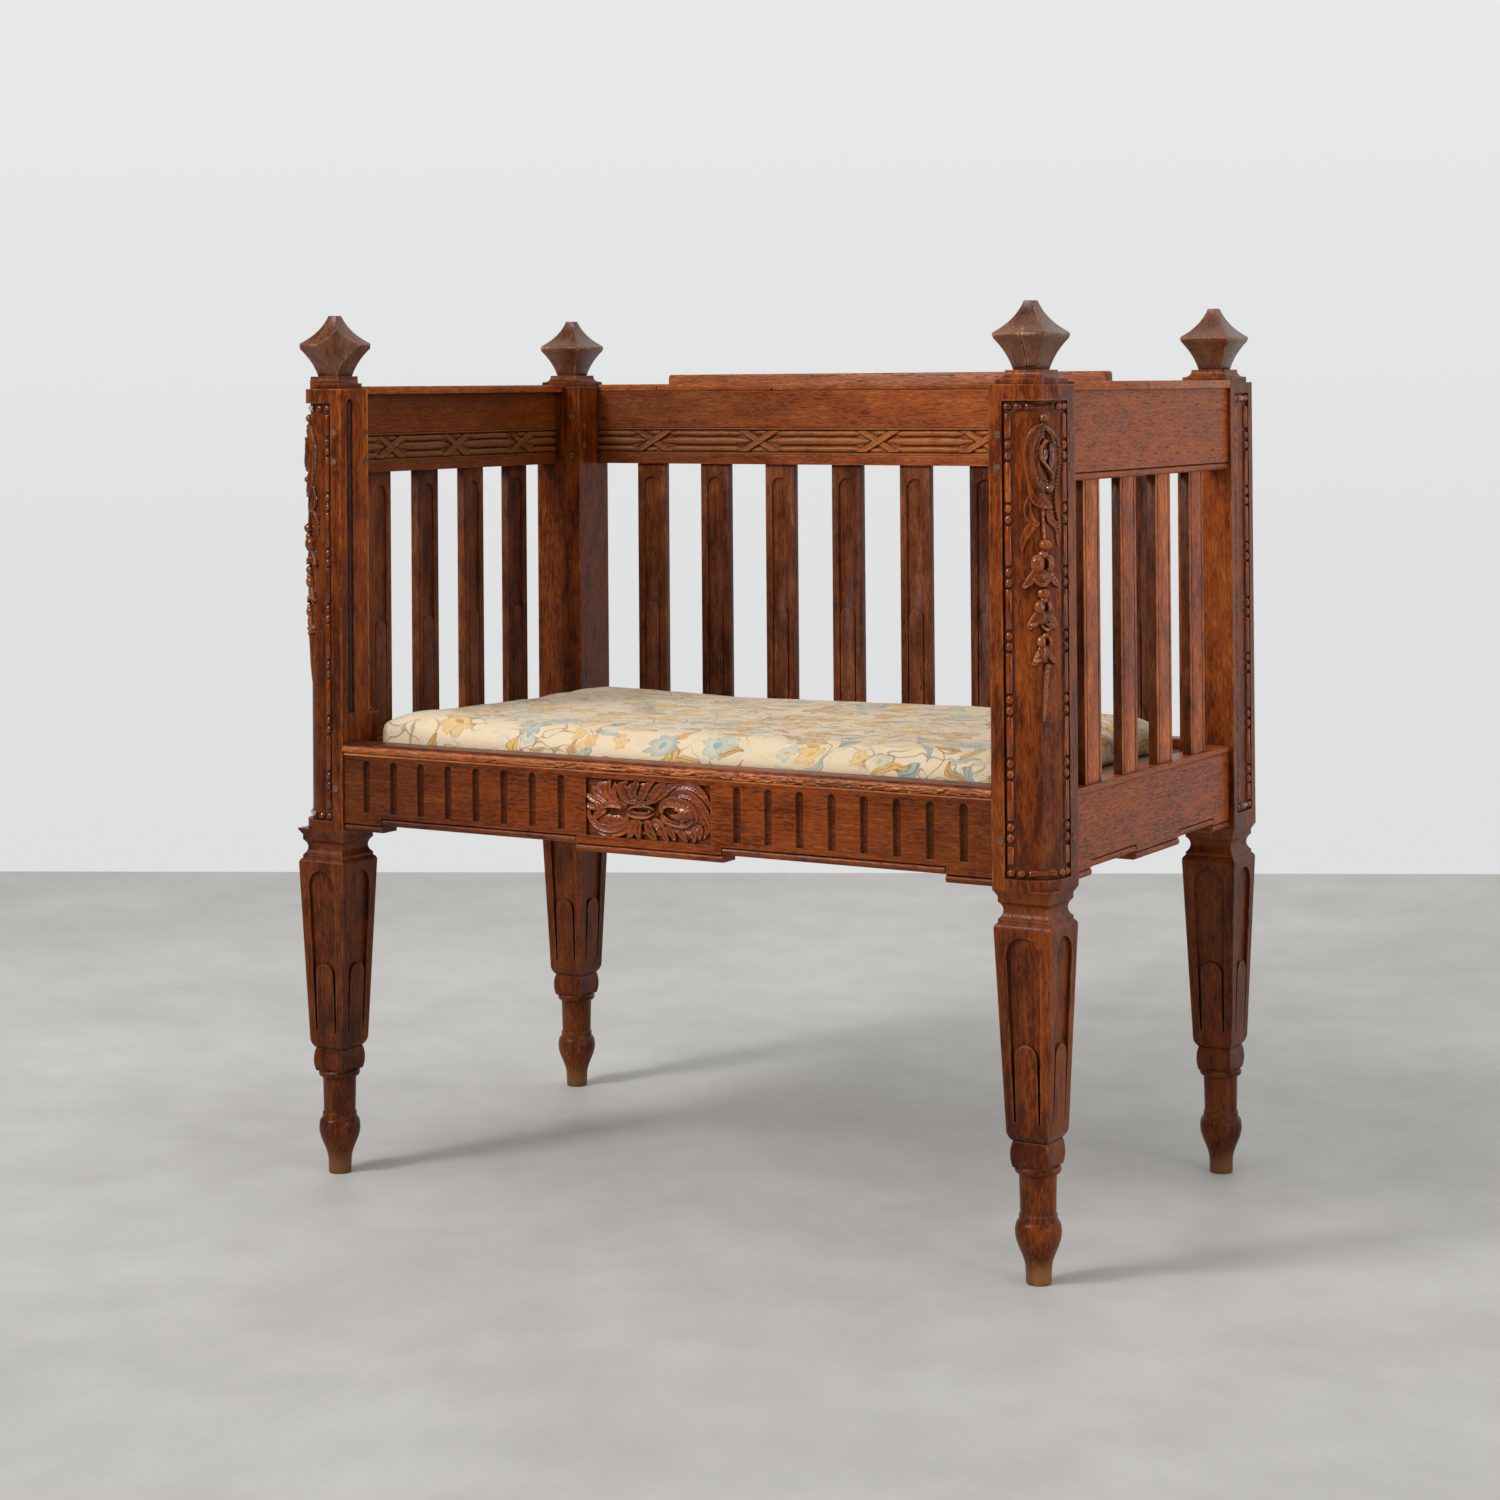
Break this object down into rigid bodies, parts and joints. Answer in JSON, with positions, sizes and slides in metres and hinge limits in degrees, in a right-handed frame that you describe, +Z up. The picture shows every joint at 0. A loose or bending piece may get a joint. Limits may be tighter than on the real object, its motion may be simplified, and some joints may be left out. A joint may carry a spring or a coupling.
{
  "type": "hall settle",
  "caption": "Small carved oak settle with slatted back and sides, finialled square posts on tapered legs, a fluted apron and a loose floral seat pad.",
  "frame": {"origin": "on the floor under the middle of the object's box", "axes": "+Z up, the front of the seat faces -Y, and +X is to the right as seen from the front"},
  "size_m": [0.9266, 0.5408, 0.96],
  "materials": {
    "oak_dark": "waxed, aged, satin",
    "oak_carved": "waxed, worn on the high parts",
    "oak_light": "waxed, faded",
    "oak_inside": "unpolished",
    "peg": "dark, end grain",
    "pad_fabric": "printed cotton, floral on cream"
  },
  "bodies": {
    "root": {"fl_post": "oak_dark", "fr_post": "oak_dark", "bl_post": "oak_dark", "br_post": "oak_dark", "fl_finial": "oak_dark", "fr_finial": "oak_dark", "bl_finial": "oak_dark", "br_finial": "oak_dark", "fl_beading": "oak_carved", "fr_beading": "oak_carved", "bl_beading": "oak_carved", "br_beading": "oak_carved", "fl_drop": "oak_carved", "fr_drop": "oak_carved", "front_apron": "oak_dark", "apron_rosette": "oak_carved", "back_seat_rail": "oak_dark", "left_seat_rail": "oak_dark", "right_seat_rail": "oak_dark", "back_top_rail": "oak_dark", "left_top_rail": "oak_dark", "right_top_rail": "oak_dark", "crest_board": "oak_light", "left_cap_strip": "oak_light", "right_cap_strip": "oak_light", "back_slat_1": "oak_dark", "back_slat_2": "oak_dark", "back_slat_3": "oak_dark", "back_slat_4": "oak_dark", "back_slat_5": "oak_dark", "back_slat_6": "oak_dark", "back_slat_7": "oak_dark", "back_slat_8": "oak_dark", "left_slat_1": "oak_dark", "left_slat_2": "oak_dark", "left_slat_3": "oak_dark", "left_slat_4": "oak_dark", "right_slat_1": "oak_dark", "right_slat_2": "oak_dark", "right_slat_3": "oak_dark", "right_slat_4": "oak_dark", "front_ledger": "oak_inside", "back_ledger": "oak_inside", "left_ledger": "oak_inside", "right_ledger": "oak_inside", "front_board": "oak_inside", "middle_board": "oak_inside", "back_board": "oak_inside", "pegs": "peg", "seat_pad": "pad_fabric"}
  },
  "joints": []
}
